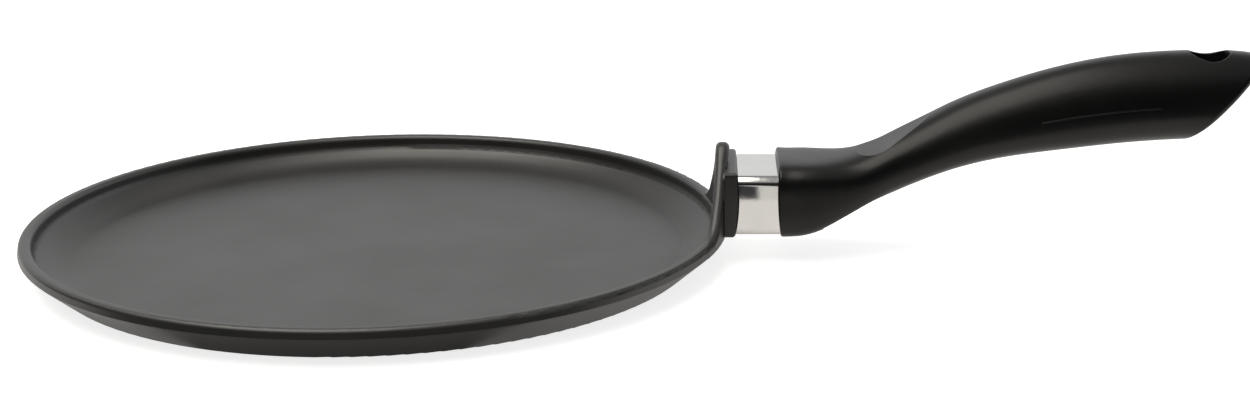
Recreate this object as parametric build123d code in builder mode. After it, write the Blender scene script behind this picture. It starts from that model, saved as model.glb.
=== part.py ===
from build123d import *
import math
import os

# A crepe pan: a shallow cast dish with a splash ear, a dark collar, a polished ferrule and a
# moulded grip held by one long screw. Millimetres. The origin is the centre of the flat base,
# +X runs along the grip and +Z is up.

# Cast dish
RIM_DIAMETER = 250.0
PAN_HEIGHT = 13.0
FLOOR_THICKNESS = 3.2
BASE_INSET = 11.5
FLOOR_INSET = 11.0
FLOOR_ROUND = 14.0
BASE_EDGE_ROUND = 2.5
LIP_WIDTH = 4.8
LIP_DEPTH = 4.6
LIP_DRAFT = 0.3
LIP_FOOT_ROUND = 3.0
LIP_ROUND = 1.6
RIM_BAND_HEIGHT = 3.1
RIM_BAND_STEP = 0.8
RIM_BAND_DRAFT = 0.5

# Splash ear, an arch that stands on the rim in front of the grip
EAR_HEIGHT = 27.4
EAR_FLANK_ANGLE = 46.0
EAR_TOP_RADIUS = 7.0
EAR_ROOT_RADIUS = 16.0
EAR_ROOT_TAIL = 12.0
EAR_THICKNESS = 4.2
EAR_REACH = 1.0
EAR_BEND_RADIUS = 12.0
EAR_EDGE_ROUND = 1.95
EAR_SINK = 3.4
CASTING_INSET = 0.1

# Boss behind the ear, and the spigot that carries collar, ferrule and grip
BOSS_THICKNESS = 0.9
BOSS_CORNER = 3.0
BOSS_EDGE_ROUND = 0.4
BOSS_INSET = 0.5
SPIGOT_ROOT_DEPTH = 1.5
SPIGOT_LENGTH = 10.6
SPIGOT_FIT = 0.2

# Axis of the grip screw above the rim plane
GRIP_AXIS_RISE = 8.5

# Collar between casting and ferrule
COLLAR_WIDTH = 36.6
COLLAR_HEIGHT = 23.4
COLLAR_LIFT = 0.4
COLLAR_REACH = 3.8
COLLAR_CORNER = 1.2
COLLAR_CHAMFER = 0.6
COLLAR_BOW_RADIUS = 67.0
COLLAR_BOW_LIFT = 2.0
COLLAR_FIT = 0.1

# Ferrule, a polished sheet steel tube
FERRULE_WIDTH = 36.2
FERRULE_HEIGHT = 21.4
FERRULE_CORNER = 3.2
FERRULE_WALL = 1.0
FERRULE_SHOWN = 13.6

# Grip: its overall curve, and its sections at the socket, neck, palm and tip
GRIP_LENGTH = 176.6
GRIP_RISE = 36.6
SOCKET_LIFT = 0.9
SOCKET_SIDE_WALL = 2.2
SOCKET_ROOF = 3.0
NECK_WIDTH = 27.0
NECK_HEIGHT = 20.6
PALM_WIDTH = 29.2
PALM_HEIGHT = 31.2
TIP_WIDTH = 23.0
TIP_HEIGHT = 27.0
SECTION_POINTS = 32

# Share of the length, share of the rise, stage of the width, stage of the height, share of the
# half height by which the widest line lies low, and squareness of each section. Stage 0 is the
# socket, 1 the neck, 2 the palm and 3 the tip.
GRIP_STATION_SHARES = [
    (0.000, 0.001, 0.00, 0.02, 0.00, 5.00),
    (0.051, 0.001, 0.05, 0.14, 0.00, 4.60),
    (0.102, 0.034, 0.19, 0.46, 0.00, 4.00),
    (0.139, 0.077, 0.39, 0.74, 0.00, 3.25),
    (0.179, 0.151, 0.60, 0.94, 0.03, 2.70),
    (0.219, 0.255, 0.79, 1.00, 0.08, 2.45),
    (0.275, 0.385, 0.95, 1.06, 0.15, 2.30),
    (0.360, 0.568, 1.00, 1.28, 0.20, 2.20),
    (0.456, 0.717, 1.36, 1.52, 0.23, 2.20),
    (0.570, 0.839, 1.73, 1.83, 0.24, 2.20),
    (0.700, 0.933, 2.00, 1.99, 0.22, 2.20),
    (0.830, 0.973, 2.06, 2.00, 0.20, 2.20),
    (0.915, 0.978, 2.35, 2.15, 0.18, 2.20),
    (1.000, 0.940, 3.00, 3.00, 0.16, 2.20),
]

# Socket end of the grip, gently bowed towards the pan
SOCKET_STOCK = 1.0
SOCKET_BOW_RADIUS = 120.0
SOCKET_BOW_LIFT = 5.3
SOCKET_EDGE_ROUND = 1.0
SOCKET_DEPTH = 5.0
SOCKET_FIT = 0.15

# Thumb rest, a leaf-shaped flat scooped from the top of the neck
THUMB_RADIUS = 20.0
THUMB_PLACE = 28.4
THUMB_FLOOR = 16.1
THUMB_ENTRY_ANGLE = 40.0
THUMB_EXIT_ANGLE = 33.5
THUMB_RUN = 22.0

# Straight slope under the neck, after the socket block
SLOPE_PLACE = 16.4
SLOPE_DROP = 8.3
SLOPE_ANGLE = 28.5
SLOPE_RUN = 15.0
SLOPE_RUNOUT_RADIUS = 40.0
SLOPE_RUNOUT_ANGLE = 25.0

# Slanted, slightly bowed end under the tip
END_BOW_RADIUS = 400.0
END_INSET = 31.5
END_HEIGHT = 21.0
END_ANGLE = 43.5
END_EDGE_ROUND = 2.2

# Hanging hole through the tip
HANG_HOLE_DIAMETER = 14.5
HANG_HOLE_INSET = 23.7
HANG_HOLE_ROUND = 0.5

# Fastening: threaded insert, screw and washers
INSERT_ACROSS_FLATS = 10.0
INSERT_LENGTH = 12.0
SCREW_DIAMETER = 6.0
SCREW_LENGTH = 35.0
SCREW_POINT_CHAMFER = 0.8
SCREW_HEAD_DIAMETER = 11.0
SCREW_HEAD_HEIGHT = 3.8
SCREW_HEAD_ROUND = 1.6
CROSS_RECESS_SPAN = 6.0
CROSS_RECESS_WIDTH = 1.1
CROSS_RECESS_DEPTH = 2.4
THREAD_FIT = 0.05
SCREW_HOLE_DIAMETER = 6.6
SEAT_DEPTH = 17.6
COUNTERBORE_DIAMETER = 13.0
COUNTERBORE_RUN = 46.0
WASHER_DIAMETER = 12.0
WASHER_THICKNESS = 1.6
WASHER_BORE = 6.4
LOCK_WASHER_DIAMETER = 10.8
LOCK_WASHER_THICKNESS = 1.6
LOCK_WASHER_GAP = 1.2
LOCK_WASHER_SLANT = 20.0

# How far cutting solids run past what they cut
OVERRUN = 20.0

# Places worked out from the sizes
rim_radius = RIM_DIAMETER / 2
base_radius = rim_radius - BASE_INSET
floor_radius = rim_radius - FLOOR_INSET
axis_z = PAN_HEIGHT + GRIP_AXIS_RISE
casting_radius = rim_radius - CASTING_INSET
ear_inner_radius = casting_radius - EAR_THICKNESS
boss_inner_radius = rim_radius - BOSS_THICKNESS
collar_front = rim_radius + COLLAR_REACH
collar_z = axis_z + COLLAR_LIFT
collar_top = collar_z + COLLAR_HEIGHT / 2
ear_top = PAN_HEIGHT + EAR_HEIGHT
bow_centre = (collar_front - COLLAR_BOW_RADIUS, collar_z + COLLAR_BOW_LIFT)
spigot_end = collar_front + SPIGOT_LENGTH
spigot_start = rim_radius - SPIGOT_ROOT_DEPTH
grip_start = collar_front + FERRULE_SHOWN
ferrule_end = grip_start + SOCKET_DEPTH
seat_x = grip_start + SEAT_DEPTH
head_x = seat_x + WASHER_THICKNESS + LOCK_WASHER_THICKNESS
insert_start = spigot_end - INSERT_LENGTH
spigot_width = FERRULE_WIDTH - 2 * FERRULE_WALL - 2 * SPIGOT_FIT
spigot_height = FERRULE_HEIGHT - 2 * FERRULE_WALL - 2 * SPIGOT_FIT
spigot_corner = FERRULE_CORNER - FERRULE_WALL - SPIGOT_FIT
socket_width = FERRULE_WIDTH + 2 * SOCKET_SIDE_WALL
socket_height = FERRULE_HEIGHT + 2 * SOCKET_ROOF


def staged(stage, sizes):
    """Size part of the way from one named section to the next."""
    first = min(int(stage), len(sizes) - 2)
    return sizes[first] + (stage - first) * (sizes[first + 1] - sizes[first])


def section_outline(station):
    """Points of one grip section, a squared oval whose widest line may lie low."""
    length_share, rise_share, width_stage, height_stage, low_share, squareness = station
    half_width = staged(width_stage, [socket_width, NECK_WIDTH, PALM_WIDTH, TIP_WIDTH]) / 2
    half_height = staged(height_stage, [socket_height, NECK_HEIGHT, PALM_HEIGHT, TIP_HEIGHT]) / 2
    middle = axis_z + SOCKET_LIFT + rise_share * GRIP_RISE
    widest = middle - low_share * half_height
    points = []
    for i in range(SECTION_POINTS):
        angle = 2 * math.pi * i / SECTION_POINTS - math.pi / 2
        across, up = math.cos(angle), math.sin(angle)
        reach = middle + half_height - widest if up > 0 else widest - middle + half_height
        y = math.copysign(half_width * abs(across) ** (2 / squareness), across)
        z = widest + math.copysign(reach * abs(up) ** (2 / squareness), up)
        points.append((y, z))
    return points


# Arch of the splash ear, seen along the grip. It is drawn as a tall triangle on the rim with a
# round top and flared roots.
flank = math.radians(EAR_FLANK_ANGLE)
arch_peak = EAR_HEIGHT + EAR_TOP_RADIUS * (1 / math.cos(flank) - 1)
arch_foot = arch_peak / math.tan(flank)
arch_tail = arch_foot + EAR_ROOT_TAIL

with BuildPart() as splash_ear:
    with BuildSketch(Plane.YZ) as arch:
        with BuildLine():
            top_line = FilletPolyline(
                (-arch_tail, PAN_HEIGHT),
                (-arch_foot, PAN_HEIGHT),
                (0, PAN_HEIGHT + arch_peak),
                (arch_foot, PAN_HEIGHT),
                (arch_tail, PAN_HEIGHT),
                radius=[EAR_ROOT_RADIUS, EAR_TOP_RADIUS, EAR_ROOT_RADIUS],
            )
            Polyline(
                top_line @ 1,
                (arch_tail, PAN_HEIGHT - EAR_SINK),
                (-arch_tail, PAN_HEIGHT - EAR_SINK),
                top_line @ 0,
            )
        make_face()
    extrude(amount=RIM_DIAMETER)
    with BuildSketch(Plane.XZ) as ear_wall:
        with BuildLine():
            Polyline(
                (casting_radius, PAN_HEIGHT - EAR_SINK),
                (ear_inner_radius, PAN_HEIGHT - EAR_SINK),
                (ear_inner_radius, ear_top),
                (rim_radius + EAR_REACH, ear_top),
            )
            FilletPolyline(
                (rim_radius + EAR_REACH, ear_top),
                (casting_radius, collar_top),
                (casting_radius, PAN_HEIGHT - EAR_SINK),
                radius=EAR_BEND_RADIUS,
            )
        make_face()
    revolve(axis=Axis.Z, mode=Mode.INTERSECT)
    top_edges = splash_ear.edges().filter_by(lambda e: e.center().Z > PAN_HEIGHT - EAR_SINK / 2)
    fillet(top_edges.filter_by(Axis.X, reverse=True), EAR_EDGE_ROUND)

# Thin boss that carries the collar, a little smaller than the collar all round
boss_width = COLLAR_WIDTH - 2 * BOSS_INSET
boss_height = COLLAR_HEIGHT - 2 * BOSS_INSET

with BuildPart() as boss:
    with BuildSketch(Plane.YZ) as boss_section:
        with Locations((0, collar_z)):
            RectangleRounded(boss_width, boss_height, BOSS_CORNER)
    extrude(amount=RIM_DIAMETER)
    with BuildSketch(Plane.XY) as boss_ring:
        Circle(casting_radius)
        Circle(boss_inner_radius, mode=Mode.SUBTRACT)
    extrude(amount=PAN_HEIGHT + EAR_HEIGHT + OVERRUN, mode=Mode.INTERSECT)
    inner_edges = boss.edges().filter_by(
        lambda e: math.hypot(e.center().X, e.center().Y) < boss_inner_radius + BOSS_EDGE_ROUND / 2
    )
    fillet(inner_edges, BOSS_EDGE_ROUND)

# Dish, ear, boss and spigot are one casting.
band_foot = PAN_HEIGHT - RIM_BAND_HEIGHT
lip_inner = rim_radius - LIP_WIDTH
lip_foot = lip_inner - LIP_DRAFT
lip_foot_z = PAN_HEIGHT - LIP_DEPTH

with BuildPart() as pan_body:
    with BuildSketch(Plane.XZ) as dish_profile:
        with BuildLine():
            Polyline(
                (0, FLOOR_THICKNESS),
                (0, 0),
                (base_radius, 0),
                (rim_radius - RIM_BAND_STEP, band_foot - RIM_BAND_STEP),
                (rim_radius, band_foot),
                (rim_radius - RIM_BAND_DRAFT, PAN_HEIGHT),
                (lip_inner, PAN_HEIGHT),
                (lip_foot, lip_foot_z),
                (floor_radius, FLOOR_THICKNESS),
                (0, FLOOR_THICKNESS),
            )
        make_face()
        fillet(dish_profile.vertices().sort_by_distance((lip_foot, lip_foot_z))[0], LIP_FOOT_ROUND)
        fillet(dish_profile.vertices().sort_by_distance((floor_radius, FLOOR_THICKNESS))[0], FLOOR_ROUND)
        fillet(dish_profile.vertices().group_by(Axis.Y)[0].sort_by(Axis.X)[-1], BASE_EDGE_ROUND)
        fillet(dish_profile.vertices().group_by(Axis.Y)[-1], LIP_ROUND)
    revolve(axis=Axis.Z)
    add(splash_ear.part)
    add(boss.part)
    with BuildSketch(Plane.YZ.offset(spigot_start)) as spigot_section:
        with Locations((0, axis_z)):
            RectangleRounded(spigot_width, spigot_height, spigot_corner)
    extrude(amount=spigot_end - spigot_start)
    with BuildSketch(Plane.YZ.offset(insert_start)) as insert_pocket:
        with Locations((0, axis_z)):
            RegularPolygon(INSERT_ACROSS_FLATS / 2, 6, major_radius=False)
    extrude(amount=INSERT_LENGTH, mode=Mode.SUBTRACT)
pan_body.part.label = "pan_body"

# Collar, hollowed at the back to hug the round rim and gently bowed in front
with BuildPart() as heat_collar:
    with BuildSketch(Plane.YZ) as collar_section:
        with Locations((0, collar_z)):
            RectangleRounded(COLLAR_WIDTH, COLLAR_HEIGHT, COLLAR_CORNER)
    extrude(amount=collar_front)
    with BuildSketch(Plane.XZ) as collar_bow:
        with Locations(bow_centre):
            Circle(COLLAR_BOW_RADIUS)
    extrude(amount=COLLAR_WIDTH, both=True, mode=Mode.INTERSECT)
    chamfer(heat_collar.faces().sort_by(Axis.X)[-1].edges(), COLLAR_CHAMFER)
    with BuildSketch(Plane.XY) as rim_disc:
        Circle(rim_radius + COLLAR_FIT)
    extrude(amount=PAN_HEIGHT + EAR_HEIGHT + OVERRUN, mode=Mode.SUBTRACT)
    with BuildSketch(Plane.YZ.offset(spigot_start)) as collar_window:
        with Locations((0, axis_z)):
            RectangleRounded(
                spigot_width + 2 * SPIGOT_FIT,
                spigot_height + 2 * SPIGOT_FIT,
                spigot_corner + SPIGOT_FIT,
            )
    extrude(amount=OVERRUN, mode=Mode.SUBTRACT)
heat_collar.part.label = "heat_collar"

# Ferrule, from the collar's bow to the floor of the grip's socket
with BuildPart() as ferrule:
    with BuildSketch(Plane.YZ.offset(rim_radius)) as ferrule_section:
        with Locations((0, axis_z)):
            RectangleRounded(FERRULE_WIDTH, FERRULE_HEIGHT, FERRULE_CORNER)
            RectangleRounded(
                FERRULE_WIDTH - 2 * FERRULE_WALL,
                FERRULE_HEIGHT - 2 * FERRULE_WALL,
                FERRULE_CORNER - FERRULE_WALL,
                mode=Mode.SUBTRACT,
            )
    extrude(amount=ferrule_end - rim_radius)
    with BuildSketch(Plane.XZ) as ferrule_bow:
        with Locations(bow_centre):
            Circle(COLLAR_BOW_RADIUS + COLLAR_FIT)
    extrude(amount=FERRULE_WIDTH, both=True, mode=Mode.SUBTRACT)
ferrule.part.label = "ferrule"

# Grip, lofted through its stations and then trimmed
grip_stock_start = grip_start - SOCKET_STOCK
grip_end = grip_stock_start + GRIP_LENGTH
thumb_entry = math.radians(THUMB_ENTRY_ANGLE)
thumb_start = (
    grip_start + THUMB_PLACE - THUMB_RADIUS * math.sin(thumb_entry),
    axis_z + THUMB_FLOOR + THUMB_RADIUS * (1 - math.cos(thumb_entry)),
)
slope_start = (grip_start + SLOPE_PLACE, axis_z - SLOPE_DROP)
end_angle = math.radians(END_ANGLE)
end_centre = (
    grip_end - END_INSET - END_BOW_RADIUS * math.sin(end_angle),
    axis_z + END_HEIGHT + END_BOW_RADIUS * math.cos(end_angle),
)
hang_hole_x = grip_end - HANG_HOLE_INSET

with BuildPart() as handle_grip:
    for station in GRIP_STATION_SHARES:
        with BuildSketch(Plane.YZ.offset(grip_stock_start + station[0] * GRIP_LENGTH)) as section:
            with BuildLine():
                Spline(*section_outline(station), periodic=True)
            make_face()
    loft()

    # Bowed end face towards the pan
    with BuildSketch(Plane.XZ) as socket_trim:
        with Locations((grip_start, axis_z)):
            Rectangle(2 * SOCKET_DEPTH, 2 * socket_height)
        with Locations((grip_start + SOCKET_BOW_RADIUS, axis_z + SOCKET_BOW_LIFT)):
            Circle(SOCKET_BOW_RADIUS, mode=Mode.SUBTRACT)
    extrude(amount=socket_width, both=True, mode=Mode.SUBTRACT)
    fillet(handle_grip.faces().sort_by(Axis.X)[0].edges(), SOCKET_EDGE_ROUND)

    # Slanted, bowed end under the tip
    with BuildSketch(Plane.XZ) as end_trim:
        with Locations((end_centre[0] + END_BOW_RADIUS, end_centre[1] - END_BOW_RADIUS)):
            Rectangle(END_BOW_RADIUS, 2 * END_BOW_RADIUS)
        with Locations(end_centre):
            Circle(END_BOW_RADIUS, mode=Mode.SUBTRACT)
    extrude(amount=socket_width, both=True, mode=Mode.SUBTRACT)
    fillet(handle_grip.faces().filter_by(GeomType.CYLINDER).sort_by(Axis.X)[-1].edges(), END_EDGE_ROUND)

    # Leaf-shaped thumb rest, a short arc that runs out in a straight rise
    with BuildSketch(Plane.XZ) as thumb_trim:
        with BuildLine():
            entry_way = (math.cos(thumb_entry), -math.sin(thumb_entry))
            dip = JernArc(thumb_start, entry_way, THUMB_RADIUS, THUMB_ENTRY_ANGLE + THUMB_EXIT_ANGLE)
            rise = PolarLine(dip @ 1, THUMB_RUN, THUMB_EXIT_ANGLE)
            Polyline(rise @ 1, (thumb_start[0], (rise @ 1).Y), thumb_start)
        make_face()
    extrude(amount=socket_width, both=True, mode=Mode.SUBTRACT)

    # Straight slope under the neck, which runs out in an arc
    with BuildSketch(Plane.XZ) as slope_trim:
        with BuildLine():
            slope = PolarLine(slope_start, SLOPE_RUN, SLOPE_ANGLE)
            runout = JernArc(slope @ 1, slope % 1, SLOPE_RUNOUT_RADIUS, -SLOPE_RUNOUT_ANGLE)
            Polyline(
                runout @ 1,
                ((runout @ 1).X, axis_z - socket_height),
                (slope_start[0] - SLOPE_DROP, axis_z - socket_height),
                slope_start,
            )
        make_face()
    extrude(amount=socket_width, both=True, mode=Mode.SUBTRACT)

    # Hanging hole, rounded where it opens on the crown
    with BuildSketch(Plane.XY) as hang_hole:
        with Locations((hang_hole_x, 0)):
            Circle(HANG_HOLE_DIAMETER / 2)
    extrude(amount=axis_z + GRIP_RISE + PALM_HEIGHT, mode=Mode.SUBTRACT)
    hole_edges = handle_grip.edges(Select.LAST)
    fillet(hole_edges.group_by(Axis.Z)[-1], HANG_HOLE_ROUND)

    # Socket for the ferrule, with a nose inside it that meets the spigot
    with BuildSketch(Plane.YZ.offset(spigot_end)) as socket_section:
        with Locations((0, axis_z)):
            RectangleRounded(
                FERRULE_WIDTH + 2 * SOCKET_FIT,
                FERRULE_HEIGHT + 2 * SOCKET_FIT,
                FERRULE_CORNER + SOCKET_FIT,
            )
    extrude(amount=ferrule_end - spigot_end, mode=Mode.SUBTRACT)
    with BuildSketch(Plane.YZ.offset(spigot_end)) as nose_section:
        with Locations((0, axis_z)):
            RectangleRounded(spigot_width, spigot_height, spigot_corner)
    extrude(amount=ferrule_end - spigot_end)

    # Screw channel, open on the slope under the neck
    with BuildSketch(Plane.YZ.offset(spigot_end)) as screw_hole:
        with Locations((0, axis_z)):
            Circle(SCREW_HOLE_DIAMETER / 2)
    extrude(amount=seat_x - spigot_end, mode=Mode.SUBTRACT)
    with BuildSketch(Plane.YZ.offset(seat_x)) as counterbore:
        with Locations((0, axis_z)):
            Circle(COUNTERBORE_DIAMETER / 2)
    extrude(amount=COUNTERBORE_RUN, mode=Mode.SUBTRACT)
handle_grip.part.label = "handle_grip"

# Threaded insert, held in the spigot by its six flats
with BuildPart() as threaded_insert:
    with BuildSketch(Plane.YZ.offset(insert_start)) as insert_section:
        with Locations((0, axis_z)):
            RegularPolygon(INSERT_ACROSS_FLATS / 2, 6, major_radius=False)
            Circle(SCREW_DIAMETER / 2 + THREAD_FIT, mode=Mode.SUBTRACT)
    extrude(amount=INSERT_LENGTH)
threaded_insert.part.label = "threaded_insert"

# Grip screw, with its head under the neck and its point in the insert
with BuildPart() as handle_screw:
    with BuildSketch(Plane.YZ.offset(head_x - SCREW_LENGTH)) as shank_section:
        with Locations((0, axis_z)):
            Circle(SCREW_DIAMETER / 2)
    extrude(amount=SCREW_LENGTH)
    chamfer(handle_screw.faces().sort_by(Axis.X)[0].edges(), SCREW_POINT_CHAMFER)
    with BuildSketch(Plane.YZ.offset(head_x)) as head_section:
        with Locations((0, axis_z)):
            Circle(SCREW_HEAD_DIAMETER / 2)
    extrude(amount=SCREW_HEAD_HEIGHT)
    fillet(handle_screw.faces().sort_by(Axis.X)[-1].edges(), SCREW_HEAD_ROUND)
    with BuildSketch(Plane.YZ.offset(head_x + SCREW_HEAD_HEIGHT - CROSS_RECESS_DEPTH)) as recess:
        with Locations((0, axis_z)):
            Rectangle(CROSS_RECESS_SPAN, CROSS_RECESS_WIDTH)
            Rectangle(CROSS_RECESS_WIDTH, CROSS_RECESS_SPAN)
    extrude(amount=CROSS_RECESS_DEPTH, mode=Mode.SUBTRACT)
handle_screw.part.label = "handle_screw"

# Flat washer on the seat
with BuildPart() as flat_washer:
    with BuildSketch(Plane.YZ.offset(seat_x)) as washer_section:
        with Locations((0, axis_z)):
            Circle(WASHER_DIAMETER / 2)
            Circle(WASHER_BORE / 2, mode=Mode.SUBTRACT)
    extrude(amount=WASHER_THICKNESS)
flat_washer.part.label = "flat_washer"

# Split lock washer under the head, shown pressed flat
with BuildPart() as lock_washer:
    with BuildSketch(Plane.YZ.offset(seat_x + WASHER_THICKNESS)) as lock_section:
        with Locations((0, axis_z)):
            Circle(LOCK_WASHER_DIAMETER / 2)
            Circle(WASHER_BORE / 2, mode=Mode.SUBTRACT)
        with Locations(Location((0, axis_z + LOCK_WASHER_DIAMETER / 2), LOCK_WASHER_SLANT)):
            Rectangle(LOCK_WASHER_GAP, LOCK_WASHER_DIAMETER, mode=Mode.SUBTRACT)
    extrude(amount=LOCK_WASHER_THICKNESS)
lock_washer.part.label = "lock_washer"

pieces = [
    pan_body,
    heat_collar,
    ferrule,
    handle_grip,
    threaded_insert,
    handle_screw,
    flat_washer,
    lock_washer,
]
os.makedirs("parts", exist_ok=True)
for piece in pieces:
    export_step(piece.part, f"parts/{piece.part.label}.step")
    print(piece.part.label, "solid and closed:", piece.part.is_valid)
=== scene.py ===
# %% [markdown]
# # A crepe pan in its studio
# The pan is a shallow cast dish with a splash ear, a dark collar, a polished ferrule and a moulded
# grip. Its shapes come ready made from the CAD model, so this notebook gives them their finishes,
# adds the small things a CAD model leaves out, and sets up the light and the camera.
# We could redraw every part in Blender, but the CAD solids are exact and already fit each other,
# so we keep them and never move them.

# %% Load the CAD frame
import math

import bpy
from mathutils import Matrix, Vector


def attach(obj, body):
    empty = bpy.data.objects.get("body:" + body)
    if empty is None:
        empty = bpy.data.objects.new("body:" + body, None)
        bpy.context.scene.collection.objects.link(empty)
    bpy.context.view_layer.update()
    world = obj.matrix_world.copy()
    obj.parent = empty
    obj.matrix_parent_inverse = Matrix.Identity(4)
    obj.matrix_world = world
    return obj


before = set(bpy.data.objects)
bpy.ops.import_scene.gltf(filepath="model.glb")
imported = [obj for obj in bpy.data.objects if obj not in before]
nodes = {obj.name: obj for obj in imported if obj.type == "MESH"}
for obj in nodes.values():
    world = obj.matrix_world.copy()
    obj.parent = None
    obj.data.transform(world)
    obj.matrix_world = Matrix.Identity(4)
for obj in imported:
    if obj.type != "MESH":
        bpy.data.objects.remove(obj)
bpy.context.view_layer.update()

print("CAD pieces:", ", ".join(sorted(nodes)))

# %% [markdown]
# ## Camera
# A camera is three things: where it stands, which way it looks and how long its lens is.
# Product photographs are often cropped, so the optical axis isn't in the middle of the picture.
# We could turn the camera to fix that, but then the upright edges would lean. A small lens shift
# keeps it level, and lens shift is measured in picture widths.

# %% Place the camera
CAMERA_PLACE = (0.11511, -0.73272, 0.22423)
CAMERA_DOWN_TILT = math.radians(15.832)
CAMERA_LENS = 61.06
CAMERA_SENSOR_WIDTH = 36.0
CAMERA_SHIFT = -0.06

camera_data = bpy.data.cameras.new("camera")
camera_data.sensor_width = CAMERA_SENSOR_WIDTH
camera_data.lens = CAMERA_LENS
camera_data.shift_x = CAMERA_SHIFT
camera = bpy.data.objects.new("camera", camera_data)
bpy.context.scene.collection.objects.link(camera)
camera.location = CAMERA_PLACE
camera.rotation_euler = (math.pi / 2 - CAMERA_DOWN_TILT, 0, 0)
bpy.context.scene.camera = camera
bpy.context.scene.view_settings.view_transform = "Standard"
print("Lens:", CAMERA_LENS, "mm, tilted down", round(math.degrees(CAMERA_DOWN_TILT), 2), "degrees")

# %% [markdown]
# ## Helpers for building materials
# Every material below is a small graph of nodes. In the editor we would drag wires by hand. In a
# script it pays to have one function that adds a node and fills in its inputs, and a few that add
# a node and wire it at once, because then each material reads like a recipe.

# %% Node helpers
def add_node(tree, kind, inputs=None, **settings):
    """Adds one node, sets its settings by name and its inputs by name or number."""
    node = tree.nodes.new(kind)
    for name, value in settings.items():
        setattr(node, name, value)
    for name, value in (inputs or {}).items():
        node.inputs[name].default_value = value
    return node


def math_node(tree, operation, first, second=0.0):
    """Adds a math node. Each operand is a number or an output socket."""
    node = add_node(tree, "ShaderNodeMath", operation=operation)
    for socket, value in zip(node.inputs, (first, second)):
        if isinstance(value, (int, float)):
            socket.default_value = value
        else:
            tree.links.new(value, socket)
    return node.outputs[0]


def blend_between(tree, factor, low, high):
    """Adds a Map Range node that turns a 0 to 1 mask into a value from low to high."""
    node = add_node(tree, "ShaderNodeMapRange", {"To Min": low, "To Max": high})
    tree.links.new(factor, node.inputs["Value"])
    return node.outputs["Result"]


def mix_colours(tree, factor, first, second):
    """Adds a colour mix. Each colour is a tuple or an output socket."""
    node = add_node(tree, "ShaderNodeMix", data_type="RGBA")
    tree.links.new(factor, node.inputs["Factor"])
    for socket, value in ((node.inputs[6], first), (node.inputs[7], second)):
        if isinstance(value, tuple):
            socket.default_value = value
        else:
            tree.links.new(value, socket)
    return node.outputs[2]


def grey(value, tint=(1.0, 1.0, 1.0)):
    """A colour of one linear brightness with a light tint."""
    return (value * tint[0], value * tint[1], value * tint[2], 1.0)


print("Node helpers are ready")

# %% [markdown]
# ## Shared effects
# Several finishes need the same kind of unevenness: a fine grain, soft blotches from handling, and
# turning marks that run in circles. We could build these nodes again in every material. Instead
# each is built once as a node group and placed in a material with its own values.

# %% Group helpers
def new_group(name, inputs, outputs):
    """Makes a shader node group with float inputs (name: default) and float outputs."""
    tree = bpy.data.node_groups.new(name, "ShaderNodeTree")
    for socket_name, default in inputs.items():
        socket = tree.interface.new_socket(
            name=socket_name, in_out="INPUT", socket_type="NodeSocketFloat"
        )
        socket.default_value = default
    for socket_name in outputs:
        tree.interface.new_socket(
            name=socket_name, in_out="OUTPUT", socket_type="NodeSocketFloat"
        )
    return tree, tree.nodes.new("NodeGroupInput"), tree.nodes.new("NodeGroupOutput")


def place_group(tree, group, **values):
    """Places a node group in a material and fills in its inputs."""
    node = tree.nodes.new("ShaderNodeGroup")
    node.node_tree = group
    for name, value in values.items():
        node.inputs[name.replace("_", " ")].default_value = value
    return node


print("Group helpers are ready")

# %% [markdown]
# ## Grain and blotches
# Sprayed paint and moulded plastic are never quite smooth. Seen close they have a skin of soft
# pebbles, and seen from further off they are a little duller in some places than in others. Two
# noises and a Voronoi texture make both. They read Object coordinates, which are metres on the
# real pan, so a grain of half a millimetre is half a millimetre on every piece.

# %% Surface grain
PEBBLE_SHARE = 0.6
BLOTCH_CONTRAST = (0.35, 0.65)

grain_group, given, put_out = new_group(
    "surface grain",
    {"Grains per metre": 1500.0, "Blotches per metre": 30.0},
    ["Height", "Blotches"],
)
place = add_node(grain_group, "ShaderNodeTexCoord").outputs["Object"]
fine = add_node(grain_group, "ShaderNodeTexNoise", {"Detail": 2.0, "Roughness": 0.6})
pebbles = add_node(grain_group, "ShaderNodeTexVoronoi", feature="SMOOTH_F1")
blotches = add_node(grain_group, "ShaderNodeTexNoise", {"Detail": 4.0, "Roughness": 0.55})
for texture, count in (
    (fine, "Grains per metre"),
    (pebbles, "Grains per metre"),
    (blotches, "Blotches per metre"),
):
    grain_group.links.new(place, texture.inputs["Vector"])
    grain_group.links.new(given.outputs[count], texture.inputs["Scale"])
pebble_height = math_node(grain_group, "MULTIPLY", pebbles.outputs["Distance"], PEBBLE_SHARE)
height = math_node(grain_group, "ADD", fine.outputs[0], pebble_height)
grain_group.links.new(height, put_out.inputs["Height"])
soft = add_node(
    grain_group,
    "ShaderNodeMapRange",
    {"From Min": BLOTCH_CONTRAST[0], "From Max": BLOTCH_CONTRAST[1]},
)
grain_group.links.new(blotches.outputs[0], soft.inputs["Value"])
grain_group.links.new(soft.outputs["Result"], put_out.inputs["Blotches"])
print("Shared effect:", grain_group.name)

# %% [markdown]
# ## Turning marks
# A lathe leaves fine rings round the axis. A picture of rings would have to be drawn and fitted,
# but the distance to the axis is simple to work out at every point, and the sine of that distance
# rises and falls in rings. The group also gives out the distance and the height, for masks.

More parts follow.
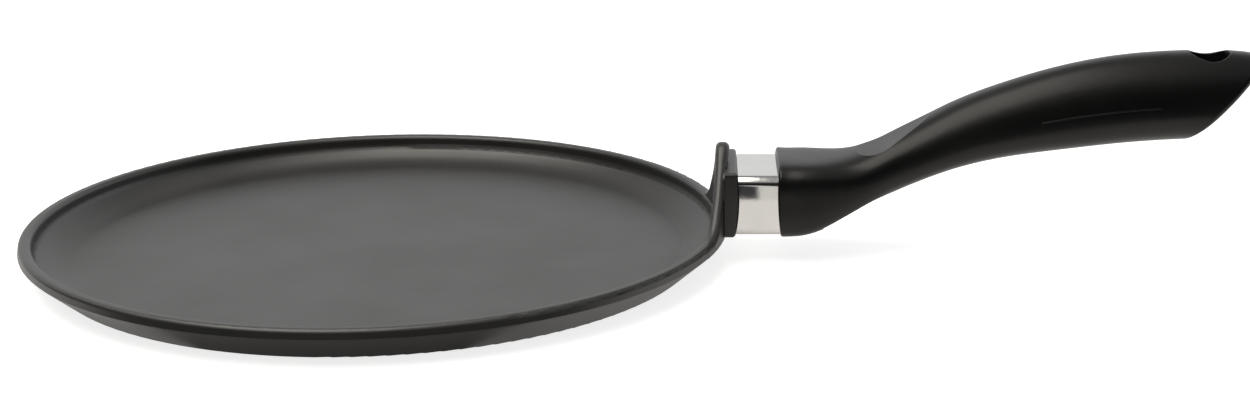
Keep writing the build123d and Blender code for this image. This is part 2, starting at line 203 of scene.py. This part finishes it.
# %% Rings round the axis
turning_group, given, put_out = new_group(
    "turning marks", {"Rings per metre": 600.0}, ["Rings", "Radius", "Height above base"]
)
place = add_node(turning_group, "ShaderNodeTexCoord").outputs["Object"]
split = add_node(turning_group, "ShaderNodeSeparateXYZ")
turning_group.links.new(place, split.inputs[0])
squares = [math_node(turning_group, "MULTIPLY", split.outputs[i], split.outputs[i]) for i in (0, 1)]
radius = math_node(turning_group, "SQRT", math_node(turning_group, "ADD", *squares))
turns = math_node(turning_group, "MULTIPLY", radius, given.outputs["Rings per metre"])
wave = math_node(turning_group, "SINE", math_node(turning_group, "MULTIPLY", turns, 2 * math.pi))
rings = math_node(turning_group, "MULTIPLY", math_node(turning_group, "ADD", wave, 1.0), 0.5)
turning_group.links.new(rings, put_out.inputs["Rings"])
turning_group.links.new(radius, put_out.inputs["Radius"])
turning_group.links.new(split.outputs[2], put_out.inputs["Height above base"])
print("Shared effect:", turning_group.name)

# %% [markdown]
# ## A helper for finishes
# Every finish ends in a Principled shader, with a bump that reads some height. Values that are the
# same all over go straight onto the shader. Only what changes over the surface gets a wire.

# %% Finish helpers
def new_finish(name, **shader_values):
    """Makes a material with one Principled shader and returns (material, tree, shader)."""
    material = bpy.data.materials.new(name)
    material.use_nodes = True
    tree = material.node_tree
    shader = tree.nodes["Principled BSDF"]
    for socket_name, value in shader_values.items():
        shader.inputs[socket_name.replace("_", " ")].default_value = value
    return material, tree, shader


def add_bump(tree, shader, height, depth):
    """Wires a height into the shader's normal. Depth is in metres."""
    bump = add_node(tree, "ShaderNodeBump", {"Strength": 1.0, "Distance": depth})
    tree.links.new(height, bump.inputs["Height"])
    tree.links.new(bump.outputs["Normal"], shader.inputs["Normal"])


def finish_piece(piece, material):
    """Puts one material on every slot of a piece."""
    if not piece.material_slots:
        piece.data.materials.append(material)
    for slot in piece.material_slots:
        slot.material = material


print("Finish helpers are ready")

# %% [markdown]
# ## Non-stick coating
# The dish is cast aluminium, sprayed dark grey on every side but the base, which is turned flat on
# a lathe. The spray dries to a fine pebble that spreads highlights, so most of the grey we see on
# the cooking surface is reflected backdrop, and the paint itself is nearly black.
# We could split the mesh and use two materials. A mask made from the distance to the axis and the
# height above the base keeps the CAD mesh whole.

# %% Coated casting
BASE_FACE_HEIGHT = 0.0003
BASE_TURNED_RADIUS = 0.1085
PAINT_COLOURS = (grey(0.0125), grey(0.0165, (1.0, 0.99, 0.97)))
PAINT_ROUGHNESS = (0.40, 0.45)
BARE_COLOURS = (grey(0.42), grey(0.55))
BARE_ROUGHNESS = (0.28, 0.36)
RING_SHARE = 3.0
COATING_BUMP = 0.00002

coating, tree, shader = new_finish("dark non-stick coating", Specular_IOR_Level=0.75)
grain = place_group(tree, grain_group, Grains_per_metre=1700.0, Blotches_per_metre=24.0)
turned = place_group(tree, turning_group, Rings_per_metre=520.0)
on_base = math_node(
    tree,
    "MULTIPLY",
    math_node(tree, "LESS_THAN", turned.outputs["Height above base"], BASE_FACE_HEIGHT),
    math_node(tree, "LESS_THAN", turned.outputs["Radius"], BASE_TURNED_RADIUS),
)
paint = mix_colours(tree, grain.outputs["Blotches"], *PAINT_COLOURS)
bare = mix_colours(tree, turned.outputs["Rings"], *BARE_COLOURS)
tree.links.new(mix_colours(tree, on_base, paint, bare), shader.inputs["Base Color"])
tree.links.new(on_base, shader.inputs["Metallic"])
paint_roughness = blend_between(tree, grain.outputs["Blotches"], *PAINT_ROUGHNESS)
bare_roughness = blend_between(tree, turned.outputs["Rings"], *BARE_ROUGHNESS)
roughness = add_node(tree, "ShaderNodeMix", data_type="FLOAT")
for index, value in ((0, on_base), (2, paint_roughness), (3, bare_roughness)):
    tree.links.new(value, roughness.inputs[index])
tree.links.new(roughness.outputs[0], shader.inputs["Roughness"])
base_rings = math_node(tree, "MULTIPLY", turned.outputs["Rings"], on_base)
ring_height = math_node(tree, "MULTIPLY", base_rings, RING_SHARE)
total_height = math_node(tree, "ADD", grain.outputs["Height"], ring_height)
add_bump(tree, shader, total_height, COATING_BUMP)
finish_piece(nodes["pan_body"], coating)
print("Coating on the casting, turned base within", BASE_TURNED_RADIUS, "m of the axis")

# %% [markdown]
# ## Grip and collar
# Both are dark heat-proof mouldings. The grip has a satin skin with the faint orange peel of a
# mould. The collar is a little rougher and greyer, and catches the light on its top.
# Each could have a material drawn by hand, but all the finishes that are left differ only in their
# colours, their roughness and their grain, so one function makes them all.

# %% Moulded plastics
def grained_finish(name, colours, roughness, grains, blotches, bump_depth, **shader_values):
    """A finish whose colour, roughness and height follow the shared grain."""
    material, tree, shader = new_finish(name, **shader_values)
    grain = place_group(
        tree, grain_group, Grains_per_metre=grains, Blotches_per_metre=blotches
    )
    tone = mix_colours(tree, grain.outputs["Blotches"], *colours)
    tree.links.new(tone, shader.inputs["Base Color"])
    uneven = blend_between(tree, grain.outputs["Blotches"], *roughness)
    tree.links.new(uneven, shader.inputs["Roughness"])
    add_bump(tree, shader, grain.outputs["Height"], bump_depth)
    return material


grip_finish = grained_finish(
    "satin grip moulding",
    colours=(grey(0.003), grey(0.0042, (1.0, 0.97, 0.94))),
    roughness=(0.34, 0.39),
    grains=1100.0,
    blotches=40.0,
    bump_depth=0.000012,
    Specular_IOR_Level=0.3,
)
collar_finish = grained_finish(
    "dark collar moulding",
    colours=(grey(0.009), grey(0.012)),
    roughness=(0.37, 0.43),
    grains=2200.0,
    blotches=60.0,
    bump_depth=0.000015,
)
finish_piece(nodes["handle_grip"], grip_finish)
finish_piece(nodes["heat_collar"], collar_finish)
print("Moulded finishes on the grip and the collar")

# %% [markdown]
# ## Parting lines
# The grip is moulded, and where the halves of the mould meet they leave a fine raised line along
# each side. It is too fine for the CAD part, so we add it here. A bump could draw the line too,
# but a bump has no height in the mesh. So a short upright edge is spun into a long shallow arc.
# First we work out the middle of that arc from its two ends and its radius, as (X, Z) places.

# %% Path of the parting lines
LINE_START = (0.2345, 0.0506)
LINE_END = (0.2760, 0.0560)
LINE_ARC_RADIUS = 0.31

chord = Vector(LINE_END) - Vector(LINE_START)
half_angle = math.asin(chord.length / 2 / LINE_ARC_RADIUS)
across_chord = Vector((chord.y, -chord.x)).normalized()
arc_middle = (Vector(LINE_START) + Vector(LINE_END)) / 2 + across_chord * (
    LINE_ARC_RADIUS * math.cos(half_angle)
)
print("The arc turns through", round(math.degrees(2 * half_angle), 2), "degrees")

# %% [markdown]
# ## Pressing the lines onto the grip
# The edge is what is left of a small plane when its face and one side are deleted. Spin sweeps it
# into a strip beside the grip, a Shrinkwrap presses the strip onto the skin, and Solidify and Bevel
# make it a bead with rounded corners that catches the light. Half of the bead lies in the skin.
# Modelling the bead first and bending it after would be harder to fit to the grip's swell.

# %% Parting lines on the grip
LINE_WIDTH = 0.0006
LINE_THICKNESS = 0.0005
LINE_ROUND = 0.00022
LINE_ROUND_STEPS = 3
LINE_STAND_OFF = 0.03
LINE_STEPS = 80


def select_all_in_edit_mode():
    """Opens edit mode with everything selected."""
    bpy.ops.object.mode_set(mode="EDIT")
    bpy.ops.mesh.select_all(action="SELECT")


def add_parting_line(name, side):
    """Presses one thin bead onto a side of the grip, where side is -1 or 1."""
    y = side * LINE_STAND_OFF
    bpy.ops.object.select_all(action="DESELECT")
    bpy.ops.mesh.primitive_plane_add(
        size=LINE_WIDTH, rotation=(math.pi / 2, 0, 0), location=(LINE_START[0], y, LINE_START[1])
    )
    line = bpy.context.active_object
    line.name = line.data.name = name
    bpy.ops.object.transform_apply(location=True, rotation=True, scale=True)
    select_all_in_edit_mode()
    bpy.ops.mesh.delete(type="ONLY_FACE")
    bpy.ops.mesh.select_all(action="DESELECT")
    bpy.ops.object.mode_set(mode="OBJECT")
    for vertex in line.data.vertices:
        vertex.select = vertex.co.x > LINE_START[0]
    bpy.ops.object.mode_set(mode="EDIT")
    bpy.ops.mesh.delete(type="VERT")
    bpy.ops.mesh.select_all(action="SELECT")
    bpy.ops.mesh.spin(
        steps=LINE_STEPS,
        angle=-2 * half_angle,
        center=(arc_middle.x, y, arc_middle.y),
        axis=(0, 1, 0),
    )
    bpy.ops.object.mode_set(mode="OBJECT")
    press = line.modifiers.new("press onto the grip", "SHRINKWRAP")
    press.target = nodes["handle_grip"]
    press.wrap_method = "PROJECT"
    press.use_project_y = True
    press.use_positive_direction = side < 0
    press.use_negative_direction = side > 0
    bpy.ops.object.modifier_apply(modifier=press.name)
    thicken = line.modifiers.new("thickness", "SOLIDIFY")
    thicken.thickness = LINE_THICKNESS
    thicken.offset = 0.0
    bpy.ops.object.modifier_apply(modifier=thicken.name)
    rounding = line.modifiers.new("round", "BEVEL")
    rounding.width = LINE_ROUND
    rounding.segments = LINE_ROUND_STEPS
    bpy.ops.object.modifier_apply(modifier=rounding.name)
    select_all_in_edit_mode()
    bpy.ops.mesh.normals_make_consistent(inside=False)
    bpy.ops.object.mode_set(mode="OBJECT")
    finish_piece(line, grip_finish)
    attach(line, "root")
    return line


for name, side in (("parting_line_near", -1), ("parting_line_far", 1)):
    line = add_parting_line(name, side)
    for axis in range(3):
        places = [corner[axis] for corner in line.bound_box]
        print(name, "XYZ"[axis], "from", round(min(places), 4), "to", round(max(places), 4))

# %% [markdown]
# ## Metals
# The ferrule is polished stainless sheet, which is mostly a mirror. A mirror looks false when it
# is perfect, so a very fine grain and a few soft handling blotches change its roughness a little.
# The insert is brass, and the screw and washers are zinc plated. They are hidden inside the grip,
# but whoever takes the model apart will see them.

# %% Polished, plated and brass metals
METAL_BLOTCHES = 90.0
METAL_SHADE = 0.93


def metal_finish(name, colour, roughness, grains, bump_depth):
    """A metal that is a little darker in some places than in others."""
    darker = tuple(METAL_SHADE * value for value in colour[:3]) + (1.0,)
    return grained_finish(
        name, (darker, colour), roughness, grains, METAL_BLOTCHES, bump_depth, Metallic=1.0
    )


ferrule_finish = metal_finish(
    "polished ferrule steel", (0.60, 0.595, 0.58, 1.0), (0.05, 0.09), 900.0, 0.000002
)
zinc_finish = metal_finish(
    "zinc plated steel", (0.60, 0.61, 0.62, 1.0), (0.28, 0.36), 2500.0, 0.00001
)
brass_finish = metal_finish(
    "machined brass", (0.72, 0.52, 0.24, 1.0), (0.22, 0.30), 2000.0, 0.00001
)
finish_piece(nodes["ferrule"], ferrule_finish)
finish_piece(nodes["threaded_insert"], brass_finish)
for name in ("handle_screw", "flat_washer", "lock_washer"):
    finish_piece(nodes[name], zinc_finish)
print("Metal finishes on the ferrule, the insert, the screw and the washers")

# %% [markdown]
# ## Studio
# The pan stands on a sheet of white paper, with a large soft light overhead, a pale backdrop low
# behind it and a dark room all round. That room is what makes the grip's flank and the rim's band
# black under their highlights.
# A plain lit plane would do for the paper, but a mirror-like piece shows what stands around it, so
# the floor is told apart by the kind of ray. The camera sees it white with a soft shadow, and
# reflections see a sheet with an edge. The plane is laid first.

# %% Lay the floor
FLOOR_SIZE = 8.0
FLOOR_DROP = 0.0002

bpy.ops.object.select_all(action="DESELECT")
bpy.ops.mesh.primitive_plane_add(size=FLOOR_SIZE, location=(0, 0, -FLOOR_DROP))
floor = bpy.context.active_object
floor.name = "floor"
floor_finish, tree, shader = new_finish(
    "white paper floor", Roughness=0.9, Specular_IOR_Level=0.1
)
finish_piece(floor, floor_finish)
print("Floor laid", FLOOR_DROP, "m under the pan")

# %% [markdown]
# ## Where reflections see paper
# The camera sees white paper everywhere, but reflections see a sheet that ends a hand's width in
# front of the handle, so the dark patch on the ferrule's side is a painted reflection of a room
# beyond that edge. A narrow tongue of paper runs on forwards and ends the painted patch on its
# right. A faint disc round the pan is painted light that only reflections see, and keeps its lower
# wall from going black.
# A second object could be hidden from the camera instead, but three soft masks on one plane are
# simpler to move about.

# %% Paper mask, a painted reflection
# Painted reflection: the sheet that only reflections see ends here, which paints the dark patch on
# the ferrule's side.
PAINTED_REFLECTION_EDGE = (-0.1075, -0.1045)
TONGUE_START = (0.1372, 0.1392)
TONGUE_END = (0.146, 0.151)
TONGUE_WEIGHT = 0.85
# Painted light: a lighter disc round the pan that only reflections see, which lifts its lower wall.
PAINTED_LIGHT_DISC_EDGE = (0.140, 0.150)
PAINTED_LIGHT_DISC_WEIGHT = 0.35


def ramp(tree, value, start, end, low=0.0, high=1.0):
    """Adds a smooth step from low to high between two places."""
    node = add_node(
        tree,
        "ShaderNodeMapRange",
        {"From Min": start, "From Max": end, "To Min": low, "To Max": high},
        interpolation_type="SMOOTHSTEP",
    )
    tree.links.new(value, node.inputs["Value"])
    return node.outputs["Result"]


place = add_node(tree, "ShaderNodeTexCoord").outputs["Object"]
split = add_node(tree, "ShaderNodeSeparateXYZ")
tree.links.new(place, split.inputs[0])
# Painted reflection: this edge exists only for reflections, the camera sees paper on both sides.
painted_reflection_sheet = ramp(tree, split.outputs[1], *PAINTED_REFLECTION_EDGE)
tongue = math_node(
    tree,
    "MULTIPLY",
    ramp(tree, split.outputs[0], *TONGUE_START),
    ramp(tree, split.outputs[0], *TONGUE_END, 1.0, 0.0),
)
from_middle = add_node(tree, "ShaderNodeVectorMath", operation="LENGTH")
tree.links.new(place, from_middle.inputs[0])
# Painted light in reflections: the disc brightens what the pan's lower wall mirrors.
painted_light_disc = ramp(tree, from_middle.outputs["Value"], *PAINTED_LIGHT_DISC_EDGE, 1.0, 0.0)
paper = math_node(tree, "MAXIMUM", painted_reflection_sheet, math_node(tree, "MULTIPLY", tongue, TONGUE_WEIGHT))
paper = math_node(tree, "MAXIMUM", paper, math_node(tree, "MULTIPLY", painted_light_disc, PAINTED_LIGHT_DISC_WEIGHT))
print("Mirrored paper ends at Y =", PAINTED_REFLECTION_EDGE[0], "m")

# %% [markdown]
# ## The paper's light
# White paper in a bright studio is as white as the picture can show. Lighting it that strongly
# would wash out the pan, so the paper also glows a little: in full for the camera, and less and
# warmer where reflections see paper. Glossy rays that miss the paper see a dark bluish colour, a
# painted reflection of a room.

# %% Paper colour and glow
PAPER_LEVEL = 0.55
# Painted reflection: the dark bluish colour that reflections see beyond the sheet's edge.
PAINTED_ROOM_REFLECTION = grey(0.035, (0.9, 0.95, 1.2))
CAMERA_GLOW_COLOUR = grey(1.0)
CAMERA_GLOW = 0.8
MIRRORED_GLOW_COLOUR = grey(1.0, (1.0, 0.96, 0.92))
MIRRORED_GLOW = 0.52

path = add_node(tree, "ShaderNodeLightPath")
by_camera, by_mirror = path.outputs["Is Camera Ray"], path.outputs["Is Glossy Ray"]
off_paper = math_node(tree, "SUBTRACT", 1.0, paper)
painted_room_reflection_mask = math_node(tree, "MULTIPLY", by_mirror, off_paper)
paper_colour = mix_colours(tree, painted_room_reflection_mask, grey(PAPER_LEVEL), PAINTED_ROOM_REFLECTION)
tree.links.new(paper_colour, shader.inputs["Base Color"])

glow = add_node(tree, "ShaderNodeEmission")
glow_colour = mix_colours(tree, by_camera, MIRRORED_GLOW_COLOUR, CAMERA_GLOW_COLOUR)
tree.links.new(glow_colour, glow.inputs["Color"])
mirrored_paper = math_node(tree, "MULTIPLY", by_mirror, paper)
mirrored_glow = math_node(tree, "MULTIPLY", mirrored_paper, MIRRORED_GLOW)
camera_glow = math_node(tree, "MULTIPLY", by_camera, CAMERA_GLOW)
tree.links.new(math_node(tree, "ADD", mirrored_glow, camera_glow), glow.inputs["Strength"])
both = add_node(tree, "ShaderNodeAddShader")
tree.links.new(shader.outputs[0], both.inputs[0])
tree.links.new(glow.outputs[0], both.inputs[1])
tree.links.new(both.outputs[0], tree.nodes["Material Output"].inputs["Surface"])
print("Paper glows", CAMERA_GLOW, "to the camera and", MIRRORED_GLOW, "in reflections")

# %% [markdown]
# ## World
# The world is the room as reflections see it: dim all round, with a pale backdrop low at the back
# and a greyer ceiling above. Planes round the pan could play these parts, but a direction is all
# that a far wall needs, so a few masks on the ray's direction do the same. The camera itself sees
# plain white.

# %% Room, backdrop and ceiling
BACKDROP_LEVEL = 0.96
CEILING_LEVEL = 0.4
ROOM_LEVEL = 0.025
BACKDROP_DIRECTION = (0.25, 0.97, 0.0)
BACKDROP_SIDES = (0.0, 0.5)
BACKDROP_TOP = (0.42, 0.66)

world = bpy.data.worlds.new("studio")
world.use_nodes = True
bpy.context.scene.world = world
tree = world.node_tree
background = tree.nodes["Background"]
direction = add_node(tree, "ShaderNodeTexCoord").outputs["Generated"]
towards_back = add_node(
    tree, "ShaderNodeVectorMath", {1: BACKDROP_DIRECTION}, operation="DOT_PRODUCT"
)
tree.links.new(direction, towards_back.inputs[0])
split = add_node(tree, "ShaderNodeSeparateXYZ")
tree.links.new(direction, split.inputs[0])
behind = ramp(tree, towards_back.outputs["Value"], *BACKDROP_SIDES)
low_down = ramp(tree, split.outputs[2], *BACKDROP_TOP, 1.0, 0.0)
on_backdrop = math_node(tree, "MULTIPLY", behind, low_down)
backdrop = math_node(tree, "MULTIPLY", on_backdrop, BACKDROP_LEVEL - ROOM_LEVEL)
ceiling = blend_between(tree, low_down, CEILING_LEVEL, ROOM_LEVEL)
tree.links.new(math_node(tree, "ADD", backdrop, ceiling), background.inputs["Color"])
white = add_node(tree, "ShaderNodeBackground", {"Color": grey(1.0), "Strength": 1.0})
seen = add_node(tree, "ShaderNodeMixShader")
path = add_node(tree, "ShaderNodeLightPath")
tree.links.new(path.outputs["Is Camera Ray"], seen.inputs[0])
tree.links.new(background.outputs[0], seen.inputs[1])
tree.links.new(white.outputs[0], seen.inputs[2])
tree.links.new(seen.outputs[0], tree.nodes["World Output"].inputs["Surface"])
print("Backdrop", BACKDROP_LEVEL, "ceiling", CEILING_LEVEL, "room", ROOM_LEVEL)

# %% [markdown]
# ## Lamp
# The lamp hangs over the pan and is wider than it, so its reflection fills the cooking surface's
# rear wall and runs as a soft line along the grip. A small lamp would give hard shadows and
# sparks of light instead. Its strength is set per area, so it can be resized without a change of
# brightness in reflections.

# %% Overhead softbox
LAMP_HEIGHT = 1.2
LAMP_SPAN_X = (-0.95, 0.165)
LAMP_SPAN_Y = (-1.05, 0.35)
LAMP_LEVEL = 3.85
LAMP_COLOUR = (1.0, 0.955, 0.87)

lamp_data = bpy.data.lights.new("overhead softbox", "AREA")
lamp_data.shape = "RECTANGLE"
lamp_data.size = LAMP_SPAN_X[1] - LAMP_SPAN_X[0]
lamp_data.size_y = LAMP_SPAN_Y[1] - LAMP_SPAN_Y[0]
lamp_data.energy = LAMP_LEVEL * math.pi * lamp_data.size * lamp_data.size_y
lamp_data.color = LAMP_COLOUR
lamp = bpy.data.objects.new("overhead softbox", lamp_data)
bpy.context.scene.collection.objects.link(lamp)
lamp.location = (sum(LAMP_SPAN_X) / 2, sum(LAMP_SPAN_Y) / 2, LAMP_HEIGHT)
print("Lamp of", round(lamp_data.energy, 1), "W at", LAMP_HEIGHT, "m")
